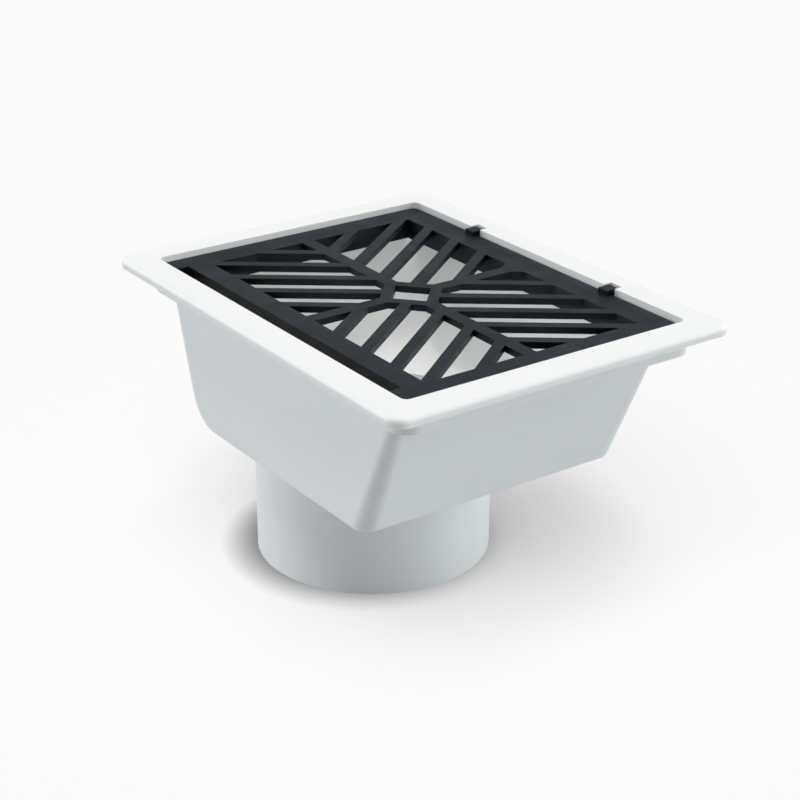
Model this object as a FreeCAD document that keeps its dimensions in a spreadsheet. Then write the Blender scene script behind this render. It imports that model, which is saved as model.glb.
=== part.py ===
"""Floor drain: a moulded hopper with an outlet spigot, and a drop-in grate that tips up on two lugs.

Lengths are millimetres and angles degrees. +Z is up, +X runs along the rim's long side, and the origin is on
the spigot's axis at its open lower end. The solids are drawn about the rim's centre and then moved along +X,
because the spigot stands nearer to the hopper's back wall.
"""
import FreeCAD
import Part
import Sketcher
import os
import re

document = FreeCAD.newDocument("FloorDrain")

# Driving sizes
SIZES = {
    # Hopper: overall and outlet
    "total_height": 136.0,
    "wall_thickness": 3.2,
    "spigot_diameter": 110.0,
    "spigot_offset": 30.5,
    "collar_height": 2.5,
    "collar_step": 0.6,
    "spigot_root": 28.0,
    # Rim and the recess that takes the grate
    "opening_length": 195.0,
    "opening_width": 144.0,
    "opening_corner": 3.0,
    "rim_border": 14.0,
    "rim_thickness": 4.5,
    "rim_corner": 7.0,
    "rim_round": 2.5,
    "seat_depth": 12.0,
    "ledge_thickness": 2.2,
    "recess_corner": 9.0,
    # Hopper walls: ledge widths at the seat, and how far each wall leans in by the floor
    "ledge_back": 4.3,
    "ledge_front": 11.7,
    "ledge_side": 6.3,
    "back_taper": 17.1,
    "front_taper": 27.7,
    "side_taper": 0.85,
    "hopper_depth": 75.3,
    "front_corner_at_seat": 5.0,
    "front_corner_at_floor": 8.0,
    "back_corner": 8.0,
    "back_curve": 22.6,
    "floor_edge": 2.0,
    # Grate frame
    "grate_drop": 2.5,
    "end_gap": 1.0,
    "hinge_gap": 1.3,
    "lift_gap": 9.2,
    "tab_back": 10.5,
    "tab_front": 14.5,
    "end_bar": 13.0,
    "hinge_bar": 13.2,
    "lift_bar": 10.6,
    "skirt_thickness": 2.5,
    "grate_corner": 3.0,
    # Grate lattice
    "bar_depth": 3.0,
    "bar_width": 5.0,
    "bar_pitch": 21.0,
    "bar_lean": 37.0,
    "bar_start": 2.3,
    "rib_width": 6.5,
    "diamond_length": 23.4,
    "diamond_width": 21.5,
    "diamond_border": 5.0,
    # Lugs that the grate tips up on
    "lug_spacing": 97.0,
    "lug_width": 6.0,
    "lug_radius": 1.6,
    "lug_reach": 2.0,
    "lug_depth": 2.0,
    "lug_clearance": 0.6,
}
BARS_PER_QUADRANT = 7
BARS_BEFORE_FIRST = 2
OVERRUN = 1.0

sheet = document.addObject("Spreadsheet::Sheet", "Sizes")
for row, (alias, size) in enumerate(SIZES.items(), start=1):
    sheet.set(f"A{row}", alias)
    sheet.set(f"B{row}", str(size))
    sheet.setAlias(f"B{row}", alias)
document.recompute()


def named(text):
    """Turns the sizes named in a formula into references to the sheet."""
    return re.sub("[a-z_]+", lambda word: f"Sizes.{word[0]}" if word[0] in SIZES else word[0], text)


def value(text):
    """Works a formula out with the sheet's present sizes."""
    return float(sheet.evalExpression(named(text)))


def bind(item, **formulas):
    """Binds properties to formulas; a double underscore in a keyword stands for a dot."""
    for name, text in formulas.items():
        item.setExpression(name.replace("__", "."), named(text))


# Heights and places that several pieces share
SEAT_Z = "total_height - seat_depth"
FLOOR_Z = "total_height - hopper_depth"
GRATE_Z = "total_height - grate_drop"
BACK_AT_SEAT = "( opening_length / 2 - ledge_back )"
FRONT_AT_SEAT = "( opening_length / 2 - ledge_front )"
SIDE_AT_SEAT = "( opening_width / 2 - ledge_side )"
GRATE_END = "( opening_length / 2 - end_gap )"
GRATE_HINGE_SIDE = "( opening_width / 2 - hinge_gap )"
GRATE_LIFT_SIDE = "( opening_width / 2 - lift_gap )"
WINDOW_END = f"( {GRATE_END} - end_bar )"
WINDOW_HINGE_SIDE = f"( {GRATE_HINGE_SIDE} - hinge_bar )"
WINDOW_LIFT_SIDE = f"( {GRATE_LIFT_SIDE} - lift_bar )"
PIVOT_Y = "opening_width / 2 + lug_reach"
PIVOT_Z = "total_height - lug_depth"


# Sketch helpers
def new_body(label):
    body = document.addObject("PartDesign::Body", label)
    document.recompute()
    return body


def new_sketch(body, label, plane, height="0"):
    """An empty sketch on one of the body's own planes, raised by a formula."""
    sketch = body.newObject("Sketcher::SketchObject", label)
    support = [item for item in body.Origin.OriginFeatures if item.Role == plane][0]
    sketch.AttachmentSupport = (support, [""])
    sketch.MapMode = "FlatFace"
    bind(sketch, AttachmentOffset__Base__z=height)
    return sketch


def pin_point(sketch, line, end, x_text, y_text):
    """Fixes one end of an edge at formulas measured from the sketch's origin."""
    for kind, text in (("DistanceX", x_text), ("DistanceY", y_text)):
        number = sketch.addConstraint(Sketcher.Constraint(kind, -1, 1, line, end, value(text)))
        sketch.setExpression(f"Constraints[{number}]", named(text))


def polygon(sketch, corners):
    """A closed outline of straight edges through corners given as pairs of formulas."""
    points = [FreeCAD.Vector(value(x), value(y), 0) for x, y in corners]
    first = sketch.GeometryCount
    for start, end in zip(points, points[1:] + points[:1]):
        sketch.addGeometry(Part.LineSegment(start, end), False)
    for number in range(len(points)):
        following = (number + 1) % len(points)
        sketch.addConstraint(Sketcher.Constraint("Coincident", first + number, 2, first + following, 1))
    for number, (x, y) in enumerate(corners):
        pin_point(sketch, first + number, 1, x, y)


def rounded_rectangle(sketch, x_low, x_high, y_low, y_high, radius):
    """A rectangle between four formulas, with its corners rounded."""
    left, right, bottom, top, bend = (value(text) for text in (x_low, x_high, y_low, y_high, radius))
    vector = FreeCAD.Vector
    centres = [(right - bend, top - bend), (left + bend, top - bend),
               (left + bend, bottom + bend), (right - bend, bottom + bend)]
    quarter = 1.5707963267948966
    first = sketch.GeometryCount
    for number, (x, y) in enumerate(centres):
        circle = Part.Circle(vector(x, y, 0), vector(0, 0, 1), bend)
        sketch.addGeometry(Part.ArcOfCircle(circle, number * quarter, (number + 1) * quarter), False)
    sides = [((right - bend, top), (left + bend, top)), ((left, top - bend), (left, bottom + bend)),
             ((left + bend, bottom), (right - bend, bottom)), ((right, bottom + bend), (right, top - bend))]
    for start, end in sides:
        sketch.addGeometry(Part.LineSegment(vector(*start, 0), vector(*end, 0)), False)
    for number in range(4):
        side = first + 4 + number
        following = first + (number + 1) % 4
        sketch.addConstraint(Sketcher.Constraint("Tangent", first + number, 2, side, 1))
        sketch.addConstraint(Sketcher.Constraint("Tangent", side, 2, following, 1))
        sketch.addConstraint(Sketcher.Constraint("Vertical" if number % 2 else "Horizontal", side))
    for number in range(1, 4):
        sketch.addConstraint(Sketcher.Constraint("Equal", first, first + number))
    places = [("DistanceX", first + 5, x_low), ("DistanceX", first + 7, x_high),
              ("DistanceY", first + 6, y_low), ("DistanceY", first + 4, y_high)]
    for kind, line, text in places:
        number = sketch.addConstraint(Sketcher.Constraint(kind, -1, 1, line, 1, value(text)))
        sketch.setExpression(f"Constraints[{number}]", named(text))
    number = sketch.addConstraint(Sketcher.Constraint("Radius", first, bend))
    sketch.setExpression(f"Constraints[{number}]", named(radius))


def pad(body, sketch, label, length, down=False):
    feature = body.newObject("PartDesign::Pad", label)
    feature.Profile = sketch
    feature.Reversed = down
    bind(feature, Length=length)
    document.recompute()
    return feature


def pocket(body, sketch, label, length, up=False, both_sides=False):
    feature = body.newObject("PartDesign::Pocket", label)
    feature.Profile = sketch
    feature.Reversed = up
    feature.Midplane = both_sides
    bind(feature, Length=length)
    document.recompute()
    return feature


def pair(kind, label, base, tool):
    """A boolean of two objects."""
    result = document.addObject(kind, label)
    result.Base = base
    result.Tool = tool
    return result


def fused(label, shapes):
    result = document.addObject("Part::MultiFuse", label)
    result.Shapes = shapes
    result.Refine = True
    return result


# Hopper
def end_rounded(sketch, x_low, x_high, half_width, radius):
    """A rectangle with sharp corners at its low X end and rounded ones at the other."""
    left, right, side, bend = (value(text) for text in (x_low, x_high, half_width, radius))
    vector = FreeCAD.Vector
    slant = bend * (1 - 0.5 ** 0.5)
    points = [vector(left, -side, 0), vector(right - bend, -side, 0), vector(right, bend - side, 0),
              vector(right, side - bend, 0), vector(right - bend, side, 0), vector(left, side, 0)]
    sketch.addGeometry(Part.LineSegment(points[0], points[1]), False)
    sketch.addGeometry(Part.Arc(points[1], vector(right - slant, slant - side, 0), points[2]), False)
    sketch.addGeometry(Part.LineSegment(points[2], points[3]), False)
    sketch.addGeometry(Part.Arc(points[3], vector(right - slant, side - slant, 0), points[4]), False)
    sketch.addGeometry(Part.LineSegment(points[4], points[5]), False)
    sketch.addGeometry(Part.LineSegment(points[5], points[0]), False)
    for edge in range(4):
        sketch.addConstraint(Sketcher.Constraint("Tangent", edge, 2, edge + 1, 1))
    sketch.addConstraint(Sketcher.Constraint("Coincident", 4, 2, 5, 1))
    sketch.addConstraint(Sketcher.Constraint("Coincident", 5, 2, 0, 1))
    for edge, kind in ((0, "Horizontal"), (2, "Vertical"), (4, "Horizontal"), (5, "Vertical")):
        sketch.addConstraint(Sketcher.Constraint(kind, edge))
    sketch.addConstraint(Sketcher.Constraint("Equal", 1, 3))
    pin_point(sketch, 0, 1, x_low, f"- ( {half_width} )")
    for kind, edge, text in (("DistanceX", 2, x_high), ("DistanceY", 4, half_width)):
        number = sketch.addConstraint(Sketcher.Constraint(kind, -1, 1, edge, 1, value(text)))
        sketch.setExpression(f"Constraints[{number}]", named(text))
    number = sketch.addConstraint(Sketcher.Constraint("Radius", 1, bend))
    sketch.setExpression(f"Constraints[{number}]", named(radius))


def hopper_walls(label, outset, rise):
    """The hopper's four leaning walls down to its floor, drawn out by one formula and raised by another."""
    body = new_body(label)
    share = f"( ( hopper_depth - seat_depth - {rise} ) / ( hopper_depth - seat_depth ) )"
    floor_z = f"{FLOOR_Z} + {rise}"
    skin = f"( wall_thickness - {outset} )"
    seat = new_sketch(body, f"{label}AtSeat", "XY_Plane", SEAT_Z)
    end_rounded(seat, f"- {BACK_AT_SEAT} - {outset}",
                f"{FRONT_AT_SEAT} + {outset}",
                f"{SIDE_AT_SEAT} + {outset}",
                f"front_corner_at_seat - {skin}")
    floor = new_sketch(body, f"{label}AtFloor", "XY_Plane", floor_z)
    end_rounded(floor, f"back_taper * {share} - {BACK_AT_SEAT} - {outset}",
                f"{FRONT_AT_SEAT} - front_taper * {share} + {outset}",
                f"{SIDE_AT_SEAT} - side_taper * {share} + {outset}",
                f"front_corner_at_seat + ( front_corner_at_floor - front_corner_at_seat ) * {share} - {skin}")
    loft = body.newObject("PartDesign::AdditiveLoft", f"{label}Loft")
    loft.Profile = seat
    loft.Sections = [floor]
    loft.Ruled = True
    document.recompute()
    low, high = value(floor_z), value(SEAT_Z)
    back = min(vertex.X for vertex in loft.Shape.Vertexes if abs(vertex.Z - low) < 1e-6)
    roll = body.newObject("PartDesign::Fillet", f"{label}BackRoll")
    roll.Base = (loft, [f"Edge{n}" for n, edge in enumerate(loft.Shape.Edges, start=1)
                        if abs(edge.BoundBox.XMax - back) < 1e-5 and abs(edge.BoundBox.ZMax - low) < 1e-5])
    bind(roll, Radius=f"back_curve - {skin}")
    document.recompute()
    return soften_walls(body, label, low, high, value(f"back_corner - {skin}"), value("floor_edge"))


def soften_walls(body, label, low, high, corner, edge_round):
    """Rounds the back corners, and the floor's edge by less, with a blend between them along the roll."""
    blends, steady = [], []
    for number, edge in enumerate(body.Shape.Edges, start=1):
        ends = [edge.valueAt(edge.FirstParameter).z, edge.valueAt(edge.LastParameter).z]
        at_floor = [abs(z - low) < 1e-4 for z in ends]
        at_seat = [abs(z - high) < 1e-4 for z in ends]
        if all(at_floor) and edge.BoundBox.XMax > 0:
            steady.append((number, edge_round, edge_round))
        elif any(at_floor) and not all(at_floor) and not any(at_seat):
            blends.append((number, *(edge_round if floor else corner for floor in at_floor)))
        elif any(at_seat) and not all(at_seat) and not any(at_floor):
            steady.append((number, corner, corner))
    soft = document.addObject("Part::Fillet", f"{label}Soft")
    soft.Base = body
    soft.Edges = blends + steady
    document.recompute()
    return soft


def round_post(label, radius, low, high):
    """A cylinder on the spigot's axis between two heights."""
    post = document.addObject("Part::Cylinder", label)
    bind(post, Radius=radius, Height=f"( {high} ) - ( {low} )")
    bind(post, Placement__Base__x="- spigot_offset", Placement__Base__z=low)
    return post


def rim_and_recess():
    """The flat rim, with its top edge rounded over, and the wall and ledge of the recess under it."""
    body = new_body("RimAndRecess")
    recess = new_sketch(body, "RecessWallOutline", "XY_Plane", "total_height")
    rounded_rectangle(recess, "- opening_length / 2 - wall_thickness", "opening_length / 2 + wall_thickness",
                      "- opening_width / 2 - wall_thickness", "opening_width / 2 + wall_thickness",
                      "recess_corner")
    pad(body, recess, "RecessWall", "seat_depth + ledge_thickness", down=True)
    rim = new_sketch(body, "RimOutline", "XY_Plane", "total_height")
    rounded_rectangle(rim, "- opening_length / 2 - rim_border", "opening_length / 2 + rim_border",
                      "- opening_width / 2 - rim_border", "opening_width / 2 + rim_border", "rim_corner")
    flange = pad(body, rim, "Rim", "rim_thickness", down=True)
    top = value("total_height")
    rounding = body.newObject("PartDesign::Fillet", "RimRounding")
    rounding.Base = (flange, [f"Edge{n}" for n, edge in enumerate(flange.Shape.Edges, start=1)
                              if abs(edge.BoundBox.ZMin - top) < 1e-6])
    bind(rounding, Radius="rim_round")
    document.recompute()
    return body


def recess_hollow():
    """The space that the grate drops into, with two notches for its lugs."""
    body = new_body("RecessHollow")
    opening = new_sketch(body, "OpeningOutline", "XY_Plane", f"total_height + {OVERRUN}")
    rounded_rectangle(opening, "- opening_length / 2", "opening_length / 2", "- opening_width / 2",
                      "opening_width / 2", "opening_corner")
    pad(body, opening, "Recess", f"seat_depth + {OVERRUN}", down=True)
    notches = new_sketch(body, "NotchOutlines", "XY_Plane", f"total_height + {OVERRUN}")
    half = "( lug_width / 2 + lug_clearance )"
    near = "opening_width / 2 - lug_radius"
    far = f"{PIVOT_Y} + lug_radius + lug_clearance"
    for way in ("- lug_spacing / 2", "lug_spacing / 2"):
        polygon(notches, [(f"{way} - {half}", near), (f"{way} + {half}", near),
                          (f"{way} + {half}", far), (f"{way} - {half}", far)])
    pad(body, notches, "Notches", f"lug_depth + lug_radius + lug_clearance + {OVERRUN}", down=True)
    return body


def make_hopper():
    """The moulding: rim, walls and spigot, less everything that is hollow."""
    root_z = f"{FLOOR_Z} + spigot_root"
    spigot = round_post("Spigot", "spigot_diameter / 2", "0", FLOOR_Z)
    collar = round_post("Collar", "spigot_diameter / 2 + collar_step", f"{FLOOR_Z} - collar_height", root_z)
    bore = round_post("Bore", "spigot_diameter / 2 - wall_thickness", f"- {OVERRUN}", root_z)
    outside = fused("HopperOutside", [hopper_walls("OuterWalls", "wall_thickness", "0"), rim_and_recess(),
                                      spigot, collar])
    inside = fused("HopperInside", [hopper_walls("InnerWalls", "0", "wall_thickness"), recess_hollow(), bore])
    hopper = pair("Part::Cut", "hopper_body", outside, inside)
    hopper.Label = "hopper_body"
    bind(hopper, Placement__Base__x="spigot_offset")
    return hopper


# Grate
def grate_frame():
    """A shallow channel round the window, with a long gap on one side to lift it by."""
    body = new_body("GrateFrame")
    outline = new_sketch(body, "FrameOutline", "XY_Plane", GRATE_Z)
    tabs = "opening_width / 2 - end_gap"
    back = f"tab_back - {GRATE_END}"
    front = f"{GRATE_END} - tab_front"
    polygon(outline, [(f"- {GRATE_END}", f"- ( {tabs} )"), (back, f"- ( {tabs} )"),
                      (back, f"- {GRATE_LIFT_SIDE}"), (front, f"- {GRATE_LIFT_SIDE}"),
                      (front, f"- ( {tabs} )"), (GRATE_END, f"- ( {tabs} )"),
                      (GRATE_END, GRATE_HINGE_SIDE), (f"- {GRATE_END}", GRATE_HINGE_SIDE)])
    plate = pad(body, outline, "Frame", "seat_depth - grate_drop", down=True)
    reach = value(GRATE_END)
    corners = [f"Edge{n}" for n, edge in enumerate(plate.Shape.Edges, start=1)
               if edge.BoundBox.ZLength > 1 and abs(abs(edge.BoundBox.Center.x) - reach) < 1e-6]
    rounding = body.newObject("PartDesign::Fillet", "FrameCorners")
    rounding.Base = (plate, corners)
    bind(rounding, Radius="grate_corner")
    document.recompute()
    window = new_sketch(body, "Window", "XY_Plane", GRATE_Z)
    polygon(window, [(f"- {WINDOW_END}", f"- {WINDOW_LIFT_SIDE}"), (WINDOW_END, f"- {WINDOW_LIFT_SIDE}"),
                     (WINDOW_END, WINDOW_HINGE_SIDE), (f"- {WINDOW_END}", WINDOW_HINGE_SIDE)])
    pocket(body, window, "WindowCut", "seat_depth")
    channel = new_sketch(body, "Channel", "XY_Plane", SEAT_Z)
    skin = "skirt_thickness"
    polygon(channel, [(f"{skin} - {GRATE_END}", f"{skin} - ( {tabs} )"),
                      (f"{back} - {skin}", f"{skin} - ( {tabs} )"),
                      (f"{back} - {skin}", f"{skin} - {GRATE_LIFT_SIDE}"),
                      (f"{front} + {skin}", f"{skin} - {GRATE_LIFT_SIDE}"),
                      (f"{front} + {skin}", f"{skin} - ( {tabs} )"),
                      (f"{GRATE_END} - {skin}", f"{skin} - ( {tabs} )"),
                      (f"{GRATE_END} - {skin}", f"{GRATE_HINGE_SIDE} - {skin}"),
                      (f"{skin} - {GRATE_END}", f"{GRATE_HINGE_SIDE} - {skin}")])
    polygon(channel, [(f"- {WINDOW_END} - {skin}", f"- {WINDOW_LIFT_SIDE} - {skin}"),
                      (f"{WINDOW_END} + {skin}", f"- {WINDOW_LIFT_SIDE} - {skin}"),
                      (f"{WINDOW_END} + {skin}", f"{WINDOW_HINGE_SIDE} + {skin}"),
                      (f"- {WINDOW_END} - {skin}", f"{WINDOW_HINGE_SIDE} + {skin}")])
    pocket(body, channel, "ChannelCut", "seat_depth - grate_drop - bar_depth", up=True)
    return body


def slanted_bars():
    """Parallel bars that lean away from the long rib, for one quarter of the window."""
    body = new_body("SlantedBars")
    sketch = new_sketch(body, "BarOutline", "XY_Plane", GRATE_Z)
    start = f"( bar_start - {BARS_BEFORE_FIRST} * bar_pitch )"
    half = "( bar_width / 2 / cos( bar_lean * 1 deg ) )"
    height = "opening_width / 2"
    shift = f"( {height} ) * tan( bar_lean * 1 deg )"
    polygon(sketch, [(f"{start} - {half}", "0"), (f"{start} + {half}", "0"),
                     (f"{start} + {half} + {shift}", height), (f"{start} - {half} + {shift}", height)])
    bar = pad(body, sketch, "Bar", "bar_depth", down=True)
    row = body.newObject("PartDesign::LinearPattern", "BarRow")
    row.Originals = [bar]
    row.Direction = (sketch, ["H_Axis"])
    row.Occurrences = BARS_PER_QUADRANT
    bind(row, Length=f"{BARS_PER_QUADRANT - 1} * bar_pitch")
    body.Tip = row
    document.recompute()
    return body


def block(label, x_low, x_high, y_low, y_high, depth):
    """A plain block hanging down from the grate's top."""
    box = document.addObject("Part::Box", label)
    bind(box, Length=f"( {x_high} ) - ( {x_low} )", Width=f"( {y_high} ) - ( {y_low} )", Height=depth)
    bind(box, Placement__Base__x=x_low, Placement__Base__y=y_low)
    bind(box, Placement__Base__z=f"{GRATE_Z} - ( {depth} )")
    return box


def diamond(label, half_length, half_width, top, depth):
    """A four-sided prism with its corners on the grate's two centre lines."""
    body = new_body(label)
    sketch = new_sketch(body, f"{label}Outline", "XY_Plane", top)
    polygon(sketch, [(half_length, "0"), ("0", half_width),
                     (f"- {half_length}", "0"), ("0", f"- {half_width}")])
    pad(body, sketch, f"{label}Pad", depth, down=True)
    return body


def mirrored(label, source, normal):
    result = document.addObject("Part::Mirroring", label)
    result.Source = source
    result.Base = FreeCAD.Vector(0, 0, 0)
    result.Normal = normal
    return result


def grate_lattice():
    """Four mirrored quarters of slanted bars, two cross ribs and an open diamond where they meet."""
    edge = "skirt_thickness"
    x_end = f"{WINDOW_END} + {edge}"
    y_high = f"{WINDOW_HINGE_SIDE} + {edge}"
    y_low = f"- {WINDOW_LIFT_SIDE} - {edge}"
    quarter_block = block("QuarterBlock", "0", x_end, "0", y_high, "bar_depth")
    quarter = pair("Part::Common", "QuarterBars", slanted_bars(), quarter_block)
    other_quarter = mirrored("OtherQuarter", quarter, FreeCAD.Vector(1, 0, 0))
    upper_half = pair("Part::Fuse", "UpperBars", quarter, other_quarter)
    lower_half = mirrored("LowerBars", upper_half, FreeCAD.Vector(0, 1, 0))
    long_rib = block("LongRib", f"- ( {x_end} )", x_end, "- rib_width / 2", "rib_width / 2", "bar_depth")
    short_rib = block("ShortRib", "- rib_width / 2", "rib_width / 2", y_low, y_high, "bar_depth")
    flare = "( 1 + diamond_border * sqrt( ( 2 / diamond_length ) ^ 2 + ( 2 / diamond_width ) ^ 2 ) )"
    border = diamond("DiamondBorder", f"diamond_length / 2 * {flare}", f"diamond_width / 2 * {flare}",
                     GRATE_Z, "bar_depth")
    solid_lattice = fused("SolidLattice", [upper_half, lower_half, long_rib, short_rib, border])
    opening = diamond("DiamondOpening", "diamond_length / 2", "diamond_width / 2",
                      f"{GRATE_Z} + {OVERRUN}", f"bar_depth + 2 * {OVERRUN}")
    open_lattice = pair("Part::Cut", "OpenLattice", solid_lattice, opening)
    window_block = block("WindowBlock", f"- ( {x_end} )", x_end, y_low, y_high, "bar_depth")
    return pair("Part::Common", "Lattice", open_lattice, window_block)


def lug(label, way):
    """A tongue on the frame's hinge side, with a round end that the grate tips up on."""
    body = new_body(label)
    sketch = new_sketch(body, f"{label}Profile", "YZ_Plane", f"{way} lug_spacing / 2 - lug_width / 2")
    root = f"( {GRATE_HINGE_SIDE} - skirt_thickness )"
    low = f"( {PIVOT_Z} - lug_radius )"
    high = f"( {PIVOT_Z} + lug_radius )"
    vector = FreeCAD.Vector
    pivot_y = value(PIVOT_Y)
    radius = value("lug_radius")
    arc = Part.Arc(vector(pivot_y, value(low), 0), vector(pivot_y + radius, value(PIVOT_Z), 0),
                   vector(pivot_y, value(high), 0))
    end = sketch.addGeometry(arc, False)
    corners = [vector(pivot_y, value(high), 0), vector(value(root), value(high), 0),
               vector(value(root), value(low), 0), vector(pivot_y, value(low), 0)]
    for start, stop in zip(corners, corners[1:]):
        sketch.addGeometry(Part.LineSegment(start, stop), False)
    for line, kind in ((1, "Horizontal"), (2, "Vertical"), (3, "Horizontal")):
        sketch.addConstraint(Sketcher.Constraint(kind, line))
    sketch.addConstraint(Sketcher.Constraint("Tangent", end, 2, 1, 1))
    sketch.addConstraint(Sketcher.Constraint("Coincident", 1, 2, 2, 1))
    sketch.addConstraint(Sketcher.Constraint("Coincident", 2, 2, 3, 1))
    sketch.addConstraint(Sketcher.Constraint("Tangent", 3, 2, end, 1))
    pin_point(sketch, end, 3, PIVOT_Y, PIVOT_Z)
    pin_point(sketch, 1, 2, root, high)
    pad(body, sketch, f"{label}Pad", "lug_width")
    return body


def make_grate():
    lugs = [lug("LugBack", "-"), lug("LugFront", "+")]
    grate = fused("grate", [grate_frame(), grate_lattice()] + lugs)
    grate.Label = "grate"
    bind(grate, Placement__Base__x="spigot_offset")
    return grate


pieces = [make_hopper(), make_grate()]
document.recompute()

failed = [item.Label for item in document.Objects if {"Invalid", "Error"} & set(item.State)]
if failed:
    raise RuntimeError(f"these objects failed: {failed}")
for piece in pieces:
    if piece.Shape.isNull() or not piece.Shape.isValid() or len(piece.Shape.Solids) != 1:
        raise RuntimeError(f"{piece.Label} is not one valid solid")

os.makedirs("parts", exist_ok=True)
for piece in pieces:
    piece.Shape.exportStep(f"parts/{piece.Label}.step")
    box = piece.Shape.optimalBoundingBox(False, False)
    print(f"{piece.Label}: {piece.Shape.Volume:.0f} cubic mm, x {box.XMin:.2f} to {box.XMax:.2f}, "
          f"y {box.YMin:.2f} to {box.YMax:.2f}, z {box.ZMin:.2f} to {box.ZMax:.2f}")
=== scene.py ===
"""Floor drain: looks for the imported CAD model, in metres and in the CAD frame."""
import math

import bpy
from mathutils import Matrix, Vector


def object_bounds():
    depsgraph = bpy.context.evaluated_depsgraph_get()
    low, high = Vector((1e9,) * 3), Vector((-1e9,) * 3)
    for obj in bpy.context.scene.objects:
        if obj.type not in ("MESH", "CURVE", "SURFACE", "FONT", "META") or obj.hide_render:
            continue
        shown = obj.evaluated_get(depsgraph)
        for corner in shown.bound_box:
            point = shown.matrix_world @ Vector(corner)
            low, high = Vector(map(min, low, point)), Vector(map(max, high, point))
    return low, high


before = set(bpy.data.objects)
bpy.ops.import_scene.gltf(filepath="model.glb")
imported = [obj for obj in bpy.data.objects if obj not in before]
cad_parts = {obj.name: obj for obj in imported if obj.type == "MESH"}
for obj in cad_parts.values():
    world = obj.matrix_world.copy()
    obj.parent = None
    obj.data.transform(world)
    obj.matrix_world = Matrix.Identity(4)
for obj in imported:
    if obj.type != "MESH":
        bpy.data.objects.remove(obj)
cad_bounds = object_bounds()
scene = bpy.context.scene
scene.view_settings.view_transform = "Standard"
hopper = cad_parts["hopper_body"]
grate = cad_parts["grate"]

# The rim is the widest and highest part of the drain, so the CAD box gives its centre
box_low, box_high = (Vector(corner) for corner in cad_bounds)
RIM_CENTRE = Vector(((box_low.x + box_high.x) / 2, (box_low.y + box_high.y) / 2, box_high.z))

# Camera: the photograph's viewpoint, given by where the rim's centre lies in its view
CAMERA_AZIMUTH = math.radians(55.0)
CAMERA_ELEVATION = math.radians(23.94)
RIM_RIGHT, RIM_UP, RIM_AHEAD = 0.00479, 0.04898, 0.82975
LENS_MM, SENSOR_MM = 85.5, 36.0
CLIP_START, CLIP_END = 0.01, 50.0

# Plastics: each mottle runs from a darker to a paler colour
PLASTIC_IOR = 1.5
NOISE_LOW, NOISE_HIGH = 0.3, 0.7
WHITE_DARKER, WHITE_PALER = (0.845, 0.862, 0.862, 1), (0.865, 0.88, 0.88, 1)
WHITE_ROUGHNESS = (0.46, 0.54)
SLATE_DARKER, SLATE_PALER = (0.009, 0.015, 0.021, 1), (0.015, 0.024, 0.033, 1)
# Painted shade on the slate: its colour where the surface is closed in
SLATE_PAINTED_SHADE = (0.002, 0.0025, 0.003, 1)
SLATE_ROUGHNESS = (0.38, 0.52)
SLATE_SHINE = 0.17
# Painted shade on the slate: how far it looks, and the openness where it is full and where it ends
SLATE_SHADE_REACH = 0.018
SLATE_SHADE_FULL_AT, SLATE_SHADE_NONE_AT = 0.50, 0.95

# Edges of the grate
EDGE_BEVEL = 0.0003
EDGE_ANGLE = math.radians(40)
EDGE_SEGMENTS = 2
WELD_DISTANCE = 0.00002

# Stage: what is seen of it, and what the floor throws back at the object
FLOOR_REACH = 6.0
FLOOR_GLOW = (0.765, 0.76, 0.755, 1)
FLOOR_SHADED = (0.25, 0.25, 0.25, 1)
FLOOR_BOUNCE = (0.57, 0.60, 0.63, 1)
BACKDROP_GLOW = (0.955, 0.95, 0.945, 1)
BACKDROP_REACH, BACKDROP_HEIGHT, BACKDROP_STEPS = 5.9, 1.6, 96
WHITE, BLACK = (1, 1, 1, 1), (0, 0, 0, 1)

# Painted shadow on the floor's glow: a narrow ring round the spigot and a wide patch on one side
OCCLUSION_SAMPLES = 16
RING_REACH, RING_LEAN, RING_CLOSED = 0.018, (0.33, 0.48, 0.8), 0.30
PATCH_REACH, PATCH_LEAN, PATCH_CLOSED = 0.085, (0.35, -0.68, 0.64), 0.40
PATCH_DARKEST = 0.5

# Lamps
WORLD_STRENGTH = 0.26
NEUTRAL, WARM, COOL = (1.0, 1.0, 1.0), (1.0, 0.985, 0.955), (0.94, 0.985, 1.0)
LAMP_DISTANCE = 2.0
INSIDE_PLACE = RIM_CENTRE + Vector((0.0145, -0.012, -0.032))
INSIDE_WATTS = 0.050
INSIDE_SIZE = 0.03


def make_camera():
    sin_az, cos_az = math.sin(CAMERA_AZIMUTH), math.cos(CAMERA_AZIMUTH)
    sin_el, cos_el = math.sin(CAMERA_ELEVATION), math.cos(CAMERA_ELEVATION)
    right = Vector((cos_az, sin_az, 0.0))
    ahead = Vector((-sin_az * cos_el, cos_az * cos_el, -sin_el))
    up = Vector((-sin_az * sin_el, cos_az * sin_el, cos_el))
    data = bpy.data.cameras.new("camera")
    data.lens = LENS_MM
    data.sensor_width = SENSOR_MM
    data.clip_start = CLIP_START
    data.clip_end = CLIP_END
    camera = bpy.data.objects.new("camera", data)
    scene.collection.objects.link(camera)
    turn = Matrix((right, up, -ahead)).transposed().to_4x4()
    place = RIM_CENTRE - right * RIM_RIGHT - up * RIM_UP - ahead * RIM_AHEAD
    camera.matrix_world = Matrix.Translation(place) @ turn
    scene.camera = camera


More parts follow.
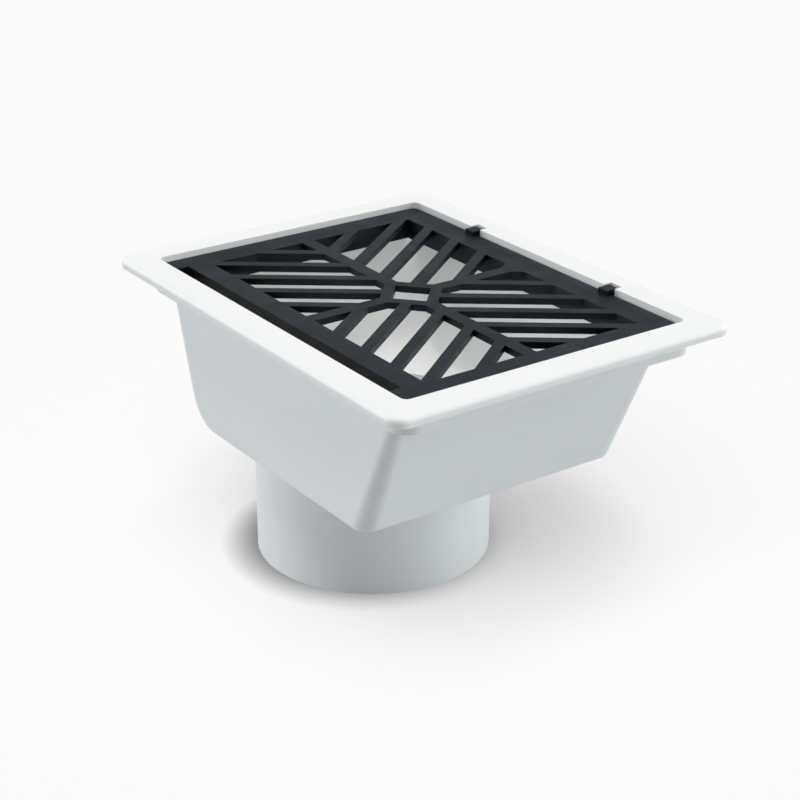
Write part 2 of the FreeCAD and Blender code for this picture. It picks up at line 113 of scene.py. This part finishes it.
# Materials
class Nodes:
    """A material's node tree."""

    def __init__(self, name):
        self.material = bpy.data.materials.new(name)
        self.material.use_nodes = True
        self.tree = self.material.node_tree
        self.tree.nodes.clear()

    def add(self, kind, inputs=None, **settings):
        """Adds a node. Inputs go by name or number, and are other nodes' outputs or plain values."""
        node = self.tree.nodes.new(kind)
        for name, setting in settings.items():
            setattr(node, name, setting)
        for key, given in (inputs or {}).items():
            socket = node.inputs[key]
            if isinstance(given, bpy.types.NodeSocket):
                self.tree.links.new(given, socket)
            else:
                socket.default_value = given
        return node

    def where(self):
        return self.add("ShaderNodeTexCoord").outputs["Object"]

    def noise(self, where, scale, detail):
        inputs = {"Vector": where, "Scale": scale, "Detail": detail}
        return self.add("ShaderNodeTexNoise", inputs).outputs["Fac"]

    def ramp(self, value, low, high):
        """Maps a value from one range onto another: low and high are (from, to) pairs."""
        inputs = {"Value": value, "From Min": low[0], "To Min": low[1],
                  "From Max": high[0], "To Max": high[1]}
        return self.add("ShaderNodeMapRange", inputs).outputs["Result"]

    def stretch(self, noise, low=0.0, high=1.0):
        """Spreads the middle of a noise over a range."""
        return self.ramp(noise, (NOISE_LOW, low), (NOISE_HIGH, high))

    def mix(self, amount, first, second):
        """Mixes two colours; the numbers are the mix node's sockets for colours."""
        inputs = {0: amount, 6: first, 7: second}
        return self.add("ShaderNodeMix", inputs, data_type="RGBA").outputs[2]

    def calculate(self, operation, first, second):
        return self.add("ShaderNodeMath", {0: first, 1: second}, operation=operation).outputs[0]

    def bump(self, height, strength, distance):
        inputs = {"Height": height, "Strength": strength, "Distance": distance}
        return self.add("ShaderNodeBump", inputs).outputs["Normal"]

    def openness(self, reach, lean=None):
        """How open the surface is within reach, about its own normal or about the way given as lean."""
        inputs = {"Distance": reach}
        if lean:
            inputs["Normal"] = self.add("ShaderNodeCombineXYZ", dict(zip("XYZ", lean))).outputs["Vector"]
        return self.add("ShaderNodeAmbientOcclusion", inputs, samples=OCCLUSION_SAMPLES).outputs["AO"]

    def finish(self, shader):
        self.add("ShaderNodeOutputMaterial", {"Surface": shader.outputs[0]})
        return self.material


def white_plastic():
    """Smooth moulded white plastic: soft shine, a faint cloudiness and the fine grain of the mould."""
    nodes = Nodes("white_plastic")
    where = nodes.where()
    cloud = nodes.stretch(nodes.noise(where, scale=18.0, detail=3.0))
    grain = nodes.noise(where, scale=2200.0, detail=2.0)
    shader = nodes.add("ShaderNodeBsdfPrincipled", {
        "Base Color": nodes.mix(cloud, WHITE_DARKER, WHITE_PALER),
        "Roughness": nodes.stretch(nodes.noise(where, scale=60.0, detail=4.0), *WHITE_ROUGHNESS),
        "Normal": nodes.bump(grain, strength=0.05, distance=0.0002),
        "IOR": PLASTIC_IOR})
    return nodes.finish(shader)


def slate_plastic():
    """Dark slate moulded plastic: satin, slightly mottled and finely grained, with shade painted in darker
    where closed in.
    """
    nodes = Nodes("slate_plastic")
    where = nodes.where()
    cloud = nodes.stretch(nodes.noise(where, scale=35.0, detail=4.0))
    grain = nodes.noise(where, scale=1400.0, detail=3.0)
    # Painted shade: clear falls from 1 to 0 in slots, gaps and recesses, darkening the colour there
    clear = nodes.ramp(nodes.openness(SLATE_SHADE_REACH), (SLATE_SHADE_FULL_AT, 0.0), (SLATE_SHADE_NONE_AT, 1.0))
    shader = nodes.add("ShaderNodeBsdfPrincipled", {
        "Base Color": nodes.mix(clear, SLATE_PAINTED_SHADE, nodes.mix(cloud, SLATE_DARKER, SLATE_PALER)),
        "Roughness": nodes.stretch(nodes.noise(where, scale=90.0, detail=4.0), *SLATE_ROUGHNESS),
        "Normal": nodes.bump(grain, strength=0.12, distance=0.0003),
        "IOR": PLASTIC_IOR,
        "Specular IOR Level": SLATE_SHINE})
    return nodes.finish(shader)


def dress(piece, material):
    """Gives a CAD node its material."""
    piece.data.materials.clear()
    piece.data.materials.append(material)


def soften_edges(piece):
    """Rounds a node's sharp edges with a small bevel; the weld first joins the faces that it runs along."""
    weld = piece.modifiers.new("weld", "WELD")
    weld.merge_threshold = WELD_DISTANCE
    bevel = piece.modifiers.new("soft_edges", "BEVEL")
    bevel.width = EDGE_BEVEL
    bevel.segments = EDGE_SEGMENTS
    bevel.limit_method = "ANGLE"
    bevel.angle_limit = EDGE_ANGLE
    bevel.harden_normals = True


# Stage
def stage_mesh(name, points, faces, material):
    """A mesh that belongs to the stage and not to the object."""
    mesh = bpy.data.meshes.new(name)
    mesh.from_pydata(points, [], faces)
    mesh.materials.append(material)
    piece = bpy.data.objects.new(name, mesh)
    scene.collection.objects.link(piece)
    return piece


def floor_white():
    """Near white with a shadow painted in close to the object where it is seen, and a plain pale grey for
    bounced light.
    """
    nodes = Nodes("floor_white")
    path = nodes.add("ShaderNodeLightPath").outputs
    seen = path["Is Camera Ray"]
    for other in ("Is Glossy Ray", "Is Transmission Ray"):
        seen = nodes.calculate("MAXIMUM", seen, path[other])
    # Painted shadow: the ring and the patch darken the floor's glow near the object
    ring = nodes.ramp(nodes.openness(RING_REACH, RING_LEAN), (RING_CLOSED, 0.0), (1.0, 1.0))
    patch = nodes.ramp(nodes.openness(PATCH_REACH, PATCH_LEAN), (PATCH_CLOSED, PATCH_DARKEST), (1.0, 1.0))
    lightness = nodes.calculate("MULTIPLY", ring, patch)
    colour = nodes.mix(lightness, BLACK, FLOOR_GLOW)
    glow = nodes.add("ShaderNodeEmission", {"Color": colour, "Strength": 1.0})
    shaded = nodes.add("ShaderNodeBsdfDiffuse", {"Color": FLOOR_SHADED})
    direct = nodes.add("ShaderNodeAddShader", {0: shaded.outputs[0], 1: glow.outputs[0]})
    bounced = nodes.add("ShaderNodeBsdfDiffuse", {"Color": FLOOR_BOUNCE})
    shader = nodes.add("ShaderNodeMixShader", {0: seen, 1: bounced.outputs[0], 2: direct.outputs[0]})
    return nodes.finish(shader)


def make_floor():
    """A plain pale floor that keeps the object's shadow."""
    reach = FLOOR_REACH
    corners = [(-reach, -reach, 0), (reach, -reach, 0), (reach, reach, 0), (-reach, reach, 0)]
    floor = stage_mesh("floor", corners, [(0, 1, 2, 3)], floor_white())
    return floor


def make_backdrop():
    """A low white wall far round the object, for the low views. It lights nothing and casts no shadow."""
    nodes = Nodes("backdrop_white")
    material = nodes.finish(nodes.add("ShaderNodeEmission", {"Color": BACKDROP_GLOW, "Strength": 1.0}))
    turns = [2 * math.pi * step / BACKDROP_STEPS for step in range(BACKDROP_STEPS)]
    circle = [(BACKDROP_REACH * math.cos(turn), BACKDROP_REACH * math.sin(turn)) for turn in turns]
    points = [(x, y, z) for x, y in circle for z in (0.0, BACKDROP_HEIGHT)]
    last = 2 * BACKDROP_STEPS
    faces = [(n, n + 1, (n + 3) % last, (n + 2) % last) for n in range(0, last, 2)]
    backdrop = stage_mesh("backdrop", points, faces, material)
    backdrop.visible_diffuse = False
    backdrop.visible_shadow = False


# Lamps
def group(name, members):
    collection = bpy.data.collections.new(name)
    for member in members:
        collection.objects.link(member)
    return collection


def add_lamp(data, place, lit, shadowed_by=None):
    """Places a lamp that lights only some objects, and may be shadowed only by some."""
    lamp = bpy.data.objects.new(data.name, data)
    lamp.location = place
    scene.collection.objects.link(lamp)
    lamp.light_linking.receiver_collection = group(f"{data.name}_lights", lit)
    if shadowed_by:
        lamp.light_linking.blocker_collection = group(f"{data.name}_shadowed_by", shadowed_by)
    return lamp


def soft_light(name, azimuth, elevation, spread, strength, colour, lit, shadowed_by=None):
    """A far, wide softbox, placed by the view convention's azimuth and elevation in degrees."""
    turn, rise = math.radians(azimuth), math.radians(elevation)
    way = Vector((math.sin(turn) * math.cos(rise), -math.cos(turn) * math.cos(rise), math.sin(rise)))
    data = bpy.data.lights.new(name, "SUN")
    data.angle = math.radians(spread)
    data.energy = strength * math.pi
    data.color = colour
    lamp = add_lamp(data, way * LAMP_DISTANCE, lit, shadowed_by)
    lamp.rotation_euler = (-way).to_track_quat("-Z", "Y").to_euler()


def inside_light():
    """A weak, soft lamp under the grate, which fills the inside of the hopper."""
    data = bpy.data.lights.new("inside_light", "POINT")
    data.shadow_soft_size = INSIDE_SIZE
    data.energy = INSIDE_WATTS
    data.color = WARM
    lamp = add_lamp(data, INSIDE_PLACE, [hopper], [hopper])
    lamp.visible_camera = False
    lamp.visible_glossy = False


def make_world():
    world = bpy.data.worlds.new("studio")
    world.use_nodes = True
    background = world.node_tree.nodes["Background"]
    background.inputs["Color"].default_value = WHITE
    background.inputs["Strength"].default_value = WORLD_STRENGTH
    scene.world = world


def make_lamps(floor):
    """Each lamp lights one object only, because linked lamps that share objects are sampled unevenly.

    The grate doesn't shadow the hopper's overhead lamp, so the inside stays pale between the dark bars.
    """
    soft_light("overhead", azimuth=62, elevation=84, spread=50, strength=0.65, colour=WARM,
               lit=[hopper], shadowed_by=[hopper])
    soft_light("grate_top", azimuth=150, elevation=82, spread=50, strength=0.60, colour=WARM, lit=[grate])
    for name, piece in (("hopper", hopper), ("grate", grate)):
        soft_light(f"{name}_left", azimuth=-54, elevation=12, spread=40, strength=0.51, colour=COOL,
                   lit=[piece])
        soft_light(f"{name}_right", azimuth=149, elevation=10, spread=40, strength=0.62, colour=COOL,
                   lit=[piece])
    soft_light("floor_light", azimuth=40, elevation=50, spread=40, strength=0.70, colour=NEUTRAL, lit=[floor])
    inside_light()


make_camera()
make_world()
make_backdrop()
make_lamps(make_floor())
dress(hopper, white_plastic())
dress(grate, slate_plastic())
soften_edges(grate)
